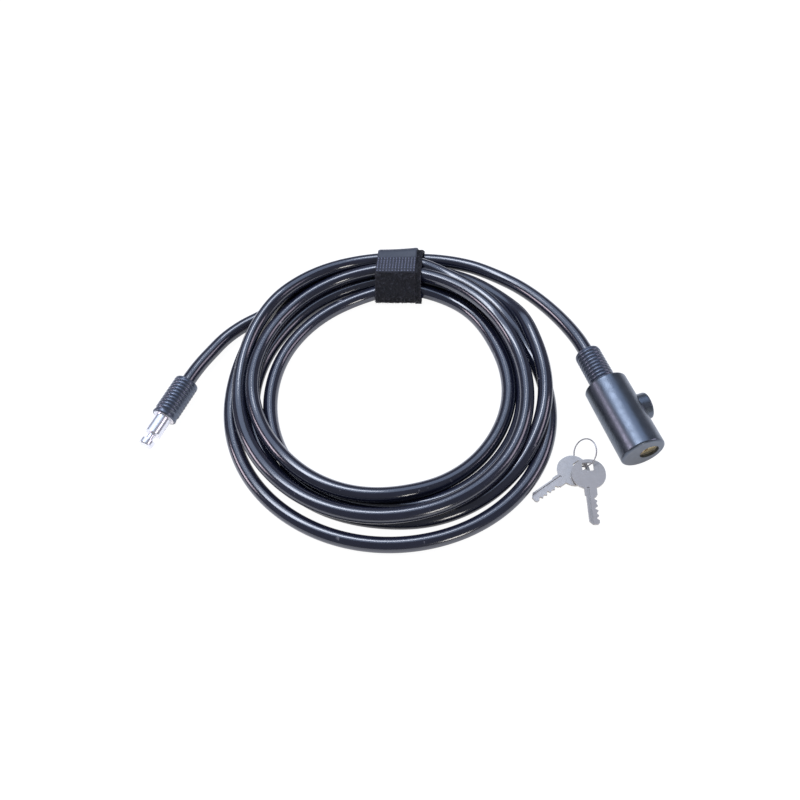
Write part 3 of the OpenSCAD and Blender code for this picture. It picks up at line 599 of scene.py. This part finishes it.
# %% [markdown]
# ## Strap
# The strap is a band of hook-and-loop tape round the whole bundle. Its outline follows the
# strands it holds. The loop layer goes all the way round. The hook layer starts low on the outer
# side, crosses the top, where its grid of pads is, and ends with fuzz low on the inner side.

# %% Strap bands
STRAP_CORNERS = [(82.8, 7.35), (118.5, 7.35), (111, 16.3), (95, 16.3)]
TIE_R = 5.15
LOOP_THICK, HOOK_IN, HOOK_OUT = 1.0, 1.05, 2.1
BAND_STEPS, BAND_ACROSS = 240, 24  # faces all the way round a band, and across it
EDGE_DROOP, EDGE_SOFT = 0.25, 0.5
LIFT_AT, LIFT_SPREAD = 0.68, 0.07  # where round the band an edge stands off, and how far along


def belt(radius, steps=10):
    """Points (distance from the coil's middle, height) of a band round the strap's corners."""
    rows = []
    for i in range(4):
        before, at, after = (np.array(STRAP_CORNERS[(i + k) % 4]) for k in (-1, 0, 1))
        start = math.atan2(*(at - before)[::-1]) - math.pi / 2
        end = math.atan2(*(after - at)[::-1]) - math.pi / 2
        sweep = (end - start) % (2 * math.pi)
        for k in range(steps + 1):
            a = start + sweep * k / steps
            rows.append(at + radius * np.array([math.cos(a), math.sin(a)]))
    return np.array(rows)


def strap_point(u, v, w):
    """u: distance from the coil's middle, v: along the coil, w: height above the table."""
    a = math.radians(STRAP_ANGLE)
    return np.array([COIL_AT[0] + u * math.cos(a) - v * math.sin(a),
                     COIL_AT[1] + u * math.sin(a) + v * math.cos(a), w + FLOOR])


def even_loop(radius, count):
    loop = belt(radius)
    loop = np.concatenate([loop, loop[:1]])
    run = np.concatenate([[0], np.cumsum(np.linalg.norm(np.diff(loop, axis=0), axis=1))])
    even = np.linspace(0, run[-1], count, endpoint=False)
    return np.stack([np.interp(even, run, loop[:, k]) for k in (0, 1)], 1)


def band(name, r_in, r_out, v0, v1, first, last, material, ragged=0.0, lift=0.0):
    """A band between two belts, from share first to share last of the way round."""
    count, across = BAND_STEPS, BAND_ACROSS
    inner, outer = even_loop(r_in, count), even_loop(r_out, count)
    i0, i1 = int(first * count), int(last * count)
    closed = i1 - i0 >= count
    steps = range(i0, i1 if closed else i1 + 1)
    ring = across + 1
    points, faces = [], []
    for row, i in enumerate(steps):
        rough = ragged * (math.sin(2.1 * row) + 0.6 * math.sin(5.3 * row + 1))
        for layer in (outer, inner):
            for k in range(ring):
                share = k / across
                v = v0 + rough + (v1 - v0 - 0.6 * rough) * share
                edge = min(share, 1 - share) * (v1 - v0)
                droop = EDGE_DROOP * math.exp(-edge / EDGE_SOFT)
                raised = lift * (1 - share) ** 2 * math.exp(-((i / count - LIFT_AT) / LIFT_SPREAD) ** 2)
                u, w = (layer[i % count] + (inner[i % count] - outer[i % count])
                        * ((droop if layer is outer else 0) - raised))
                points.append(strap_point(u, v, w) * MM)
    rows = len(list(steps))
    for row in range(rows if closed else rows - 1):
        a, b = row * 2 * ring, ((row + 1) % rows) * 2 * ring
        for k in range(across):
            faces.append((a + k, b + k, b + k + 1, a + k + 1))
            faces.append((a + ring + k + 1, b + ring + k + 1, b + ring + k, a + ring + k))
        faces.append((a + ring, b + ring, b, a))
        faces.append((a + across, b + across, b + ring + across, a + ring + across))
    if not closed:
        for a in (0, (rows - 1) * 2 * ring):
            for k in range(across):
                faces.append((a + k, a + k + 1, a + ring + k + 1, a + ring + k))
    obj = mesh_object(name, points, faces)
    obj.data.materials.append(material)
    return obj


UNDER = (-17.5, 13.0)
OVER = (-13.5, 16.5)
TAB_START, GRID_START, GRID_END, TAB_END = 0.5, 0.765, 0.86, 1.06
GROUND_EDGE = 0.008  # the darker tape starts a little before the first row of pads
loop_band = band("strap_loop_layer", TIE_R, TIE_R + LOOP_THICK, *UNDER, 0, 1.0, loop_fabric, ragged=0.08)
hook_band = band("strap_hook_layer", TIE_R + HOOK_IN, TIE_R + HOOK_OUT, *OVER, TAB_START, TAB_END,
                 hook_fabric, lift=1.2)
hook_band.data.materials.append(hook_ground)  # under the pads and the fuzz the tape is darker
row_faces, end_faces = 2 * BAND_ACROSS + 2, 2 * BAND_ACROSS
dark_from = int((GRID_START - GROUND_EDGE - TAB_START) * BAND_STEPS) * row_faces
for face in list(hook_band.data.polygons)[dark_from:-end_faces]:
    face.material_index = 1

# %% [markdown]
# The hook layer carries a grid of small pads, and behind it and along one edge of the loop layer
# stand small arches of loose thread. A node tree sets one pad or arch on each point, and the
# points lie on the band's own outline, so they follow it round the bend.

# %% Strap grid and fuzz
def instance_tree(name):
    tree, given, out = new_tree(name, [
        ("Shape", "NodeSocketObject", None),
        ("Size", "NodeSocketFloat", 1.0),
        ("Material", "NodeSocketMaterial", None),
    ])
    shape = tree.nodes.new("GeometryNodeObjectInfo")
    align = tree.nodes.new("FunctionNodeAlignRotationToVector")
    normal = tree.nodes.new("GeometryNodeInputNamedAttribute")
    spin = tree.nodes.new("GeometryNodeInputNamedAttribute")
    spun = tree.nodes.new("FunctionNodeRotateRotation")
    about = tree.nodes.new("FunctionNodeAxisAngleToRotation")
    copies = tree.nodes.new("GeometryNodeInstanceOnPoints")
    shade = tree.nodes.new("GeometryNodeSetShadeSmooth")
    normal.data_type = "FLOAT_VECTOR"
    normal.inputs["Name"].default_value = "up"
    spin.data_type = "FLOAT"
    spin.inputs["Name"].default_value = "spin"
    align.axis = "Z"
    spun.rotation_space = "LOCAL"
    tree.links.new(given.outputs["Shape"], shape.inputs["Object"])
    tree.links.new(normal.outputs[0], align.inputs["Vector"])
    tree.links.new(spin.outputs[0], about.inputs["Angle"])
    tree.links.new(align.outputs[0], spun.inputs["Rotation"])
    tree.links.new(about.outputs[0], spun.inputs["Rotate By"])
    tree.links.new(given.outputs["Geometry"], copies.inputs["Points"])
    tree.links.new(shape.outputs["Geometry"], copies.inputs["Instance"])
    tree.links.new(spun.outputs[0], copies.inputs["Rotation"])
    tree.links.new(given.outputs["Size"], copies.inputs["Scale"])
    tree.links.new(copies.outputs[0], shade.inputs["Geometry"])
    finish_tree(tree, shade.outputs[0], given.outputs["Material"], out)
    return tree


def points_object(name, points, ups, spins):
    mesh = bpy.data.meshes.new(name)
    mesh.from_pydata([tuple(p) for p in points], [], [])
    up = mesh.attributes.new("up", "FLOAT_VECTOR", "POINT")
    up.data.foreach_set("vector", np.array(ups, dtype=np.float32).ravel())
    spin = mesh.attributes.new("spin", "FLOAT", "POINT")
    spin.data.foreach_set("value", np.array(spins, dtype=np.float32))
    obj = bpy.data.objects.new(name, mesh)
    bpy.context.collection.objects.link(obj)
    return obj


def pad_shape(width, depth, height):
    """A small pillow: a square grid that rises to the middle and is closed at its foot."""
    n = 5
    points, faces = [], []
    for i in range(n):
        for k in range(n):
            x, y = (i / (n - 1) - 0.5) * 2, (k / (n - 1) - 0.5) * 2
            rise = (1 - x**4) * (1 - y**4)
            points.append((x * width / 2, y * depth / 2, height * rise))
    for i in range(n - 1):
        for k in range(n - 1):
            faces.append((i * n + k, (i + 1) * n + k, (i + 1) * n + k + 1, i * n + k + 1))
    rim = ([i * n for i in range(n)] + [(n - 1) * n + k for k in range(1, n)]
           + [i * n + n - 1 for i in range(n - 2, -1, -1)] + [k for k in range(n - 2, 0, -1)])
    faces.append(rim[::-1])
    return mesh_object("pad", points, faces)


def loop_shape(size, thick):
    """One tiny arch of thread."""
    points, faces = [], []
    rings, sides = 7, 3
    for i in range(rings):
        a = math.pi * i / (rings - 1)
        for k in range(sides):
            b = 2 * math.pi * k / sides
            r = size + thick * math.cos(b)
            points.append((r * math.cos(a), thick * math.sin(b), 1.2 * r * math.sin(a)))
    for i in range(rings - 1):
        for k in range(sides):
            n = (k + 1) % sides
            faces.append((i * sides + k, i * sides + n, (i + 1) * sides + n, (i + 1) * sides + k))
    faces += [(2, 1, 0), tuple((rings - 1) * sides + k for k in range(sides))]
    return mesh_object("thread_loop", points, faces)


FINE_STEPS = 720


def on_band(radius, share, v):
    """A point and its outward direction on a belt, at a share of the way round."""
    loop = even_loop(radius, FINE_STEPS)
    i = int(share * FINE_STEPS) % FINE_STEPS
    step = loop[(i + 1) % FINE_STEPS] - loop[i - 1]
    out = np.array([step[1], -step[0]]) / np.linalg.norm(step)
    at = strap_point(loop[i][0], v, loop[i][1])
    return at * MM, strap_point(out[0], 0, out[1]) - strap_point(0, 0, 0)


def strewn(tree, shape, rows, name, material, size=1.0):
    points, ups, spins = zip(*rows)
    made = run_tree(points_object(name + "_points", points, ups, spins), tree,
                    {"Shape": shape, "Size": size, "Material": material}, name)
    bpy.data.objects.remove(shape, do_unlink=True)
    return made


COLUMNS, ROWS = 13, 7
PAD_SIZE = (1.15, 0.75, 0.6)
PAD_MARGIN, PAD_FOOT = 1.2, 2.08
FUZZ_COUNT, LAP_SHARE = 4200, 0.8
FUZZ_FOOT, EDGE_FOOT, EDGE_WIDTH = 2.05, 0.95, 4.2
THREAD_LOOP, THREAD_THICK = 0.6, 0.13
LEAN = 0.25
FULL_TURN = 6.28
spread = instance_tree("Copies on a band")
pads = []
for column in range(COLUMNS):
    for row in range(ROWS):
        v = OVER[0] + PAD_MARGIN + (OVER[1] - OVER[0] - 2 * PAD_MARGIN) * column / (COLUMNS - 1)
        share = GRID_START + (GRID_END - GRID_START) * row / (ROWS - 1)
        point, up = on_band(TIE_R + PAD_FOOT, share, v)
        pads.append((point, up, math.radians(STRAP_ANGLE - 90)))
grid = strewn(spread, pad_shape(*(side * MM for side in PAD_SIZE)), pads, "strap_grid", hook_pads_and_sheen)

random = np.random.default_rng(7)
fuzz = []
for _ in range(FUZZ_COUNT):
    if random.random() < LAP_SHARE:
        share, v = random.uniform(GRID_END + 0.012, TAB_END), random.uniform(*OVER)
        r = TIE_R + FUZZ_FOOT
    else:
        share, v = random.uniform(0, 1), random.uniform(UNDER[0], UNDER[0] + EDGE_WIDTH)
        r = TIE_R + EDGE_FOOT
    point, up = on_band(r, share, v)
    fuzz.append((point, up + random.normal(0, LEAN, 3), random.uniform(0, FULL_TURN)))
threads = strewn(spread, loop_shape(THREAD_LOOP * MM, THREAD_THICK * MM), fuzz, "strap_fuzz", fuzz_thread)

for piece in (loop_band, hook_band, grid, threads):
    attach(piece, "lock")
    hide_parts("strap")

# %% [markdown]
# ## The cord's length
# The cable's length is the length of its line.

# %% [markdown]
# ## Floor and light
# The floor is a plain white sheet. A wide soft light hangs overhead and a little behind the
# object, with a narrow bright strip in it: the cable shows them as a thin line in a soft sheen.
# Two weaker lights stand at the sides and a small card in front. A dim even sky fills the rest,
# and the floor throws its own light back into the undersides.

# %% Floor
def add_floor():
    """A white sheet. Seen straight from the camera it is mostly its own white, so its shadows
    stay faint."""
    size = 6.0
    z = (FLOOR - 0.05) * MM
    corners = [(-size, -size, z), (size, -size, z), (size, size, z), (-size, size, z)]
    floor = mesh_object("table", corners, [(0, 1, 2, 3)], smooth_shading=False)
    material = bpy.data.materials.new("white_table")
    material.use_nodes = True
    nodes, links = material.node_tree.nodes, material.node_tree.links
    shader = nodes["Principled BSDF"]
    shader.inputs["Base Color"].default_value = (0.85, 0.85, 0.85, 1)
    shader.inputs["Roughness"].default_value = 0.6
    shader.inputs["Emission Color"].default_value = (1, 1, 1, 1)
    shader.inputs["Emission Strength"].default_value = 0.55
    white = nodes.new("ShaderNodeEmission")
    white.inputs["Strength"].default_value = 1.05
    rays = nodes.new("ShaderNodeLightPath")
    share = nodes.new("ShaderNodeMath")
    share.operation = "MULTIPLY"
    share.inputs[1].default_value = 0.82
    mix = nodes.new("ShaderNodeMixShader")
    links.new(rays.outputs["Is Camera Ray"], share.inputs[0])
    links.new(share.outputs[0], mix.inputs[0])
    links.new(shader.outputs[0], mix.inputs[1])
    links.new(white.outputs[0], mix.inputs[2])
    links.new(mix.outputs[0], nodes["Material Output"].inputs["Surface"])
    floor.data.materials.append(material)


add_floor()


# %% Lights
def soft_light(name, at, towards, size, power, color):
    data = bpy.data.lights.new(name, "AREA")
    data.shape = "RECTANGLE"
    data.size, data.size_y = size
    data.energy = power
    data.color = color
    light = bpy.data.objects.new(name, data)
    bpy.context.collection.objects.link(light)
    light.location = at
    light.rotation_mode = "QUATERNION"
    light.rotation_quaternion = (Vector(towards) - Vector(at)).to_track_quat("-Z", "Y")


CENTRE = (-0.16, 0.07, 0.0)
soft_light("overhead_strip", (-0.42, 0.62, 1.3), CENTRE, (1.0, 0.24), 7.5, (0.84, 0.89, 1.0))
soft_light("overhead_softbox", (-0.15, 0.74, 1.3), CENTRE, (1.8, 1.25), 12.5, (0.56, 0.7, 1.0))
soft_light("left_strip", (-1.43, 0.52, 0.65), CENTRE, (0.5, 0.4), 4.5, (1.0, 0.84, 0.97))
soft_light("right_strip", (1.1, -0.25, 0.72), CENTRE, (0.8, 0.5), 4, (0.95, 0.82, 1.0))
soft_light("front_card", (0.05, -1.3, 0.45), CENTRE, (0.32, 0.3), 3, (1.0, 0.97, 0.92))

world = bpy.data.worlds.new("plain_sky")
bpy.context.scene.world = world
world.use_nodes = True
sky_nodes, sky_links = world.node_tree.nodes, world.node_tree.links
sky = sky_nodes["Background"]
sky.inputs["Color"].default_value = (0.85, 0.9, 1.0, 1)
sky.inputs["Strength"].default_value = 0.22
backdrop = sky_nodes.new("ShaderNodeBackground")
backdrop.inputs["Color"].default_value = (1, 1, 1, 1)
sky_rays = sky_nodes.new("ShaderNodeLightPath")
sky_mix = sky_nodes.new("ShaderNodeMixShader")
sky_links.new(sky_rays.outputs["Is Camera Ray"], sky_mix.inputs[0])
sky_links.new(sky.outputs[0], sky_mix.inputs[1])
sky_links.new(backdrop.outputs[0], sky_mix.inputs[2])
sky_links.new(sky_mix.outputs[0], sky_nodes["World Output"].inputs["Surface"])
bpy.context.scene.view_settings.view_transform = "Standard"
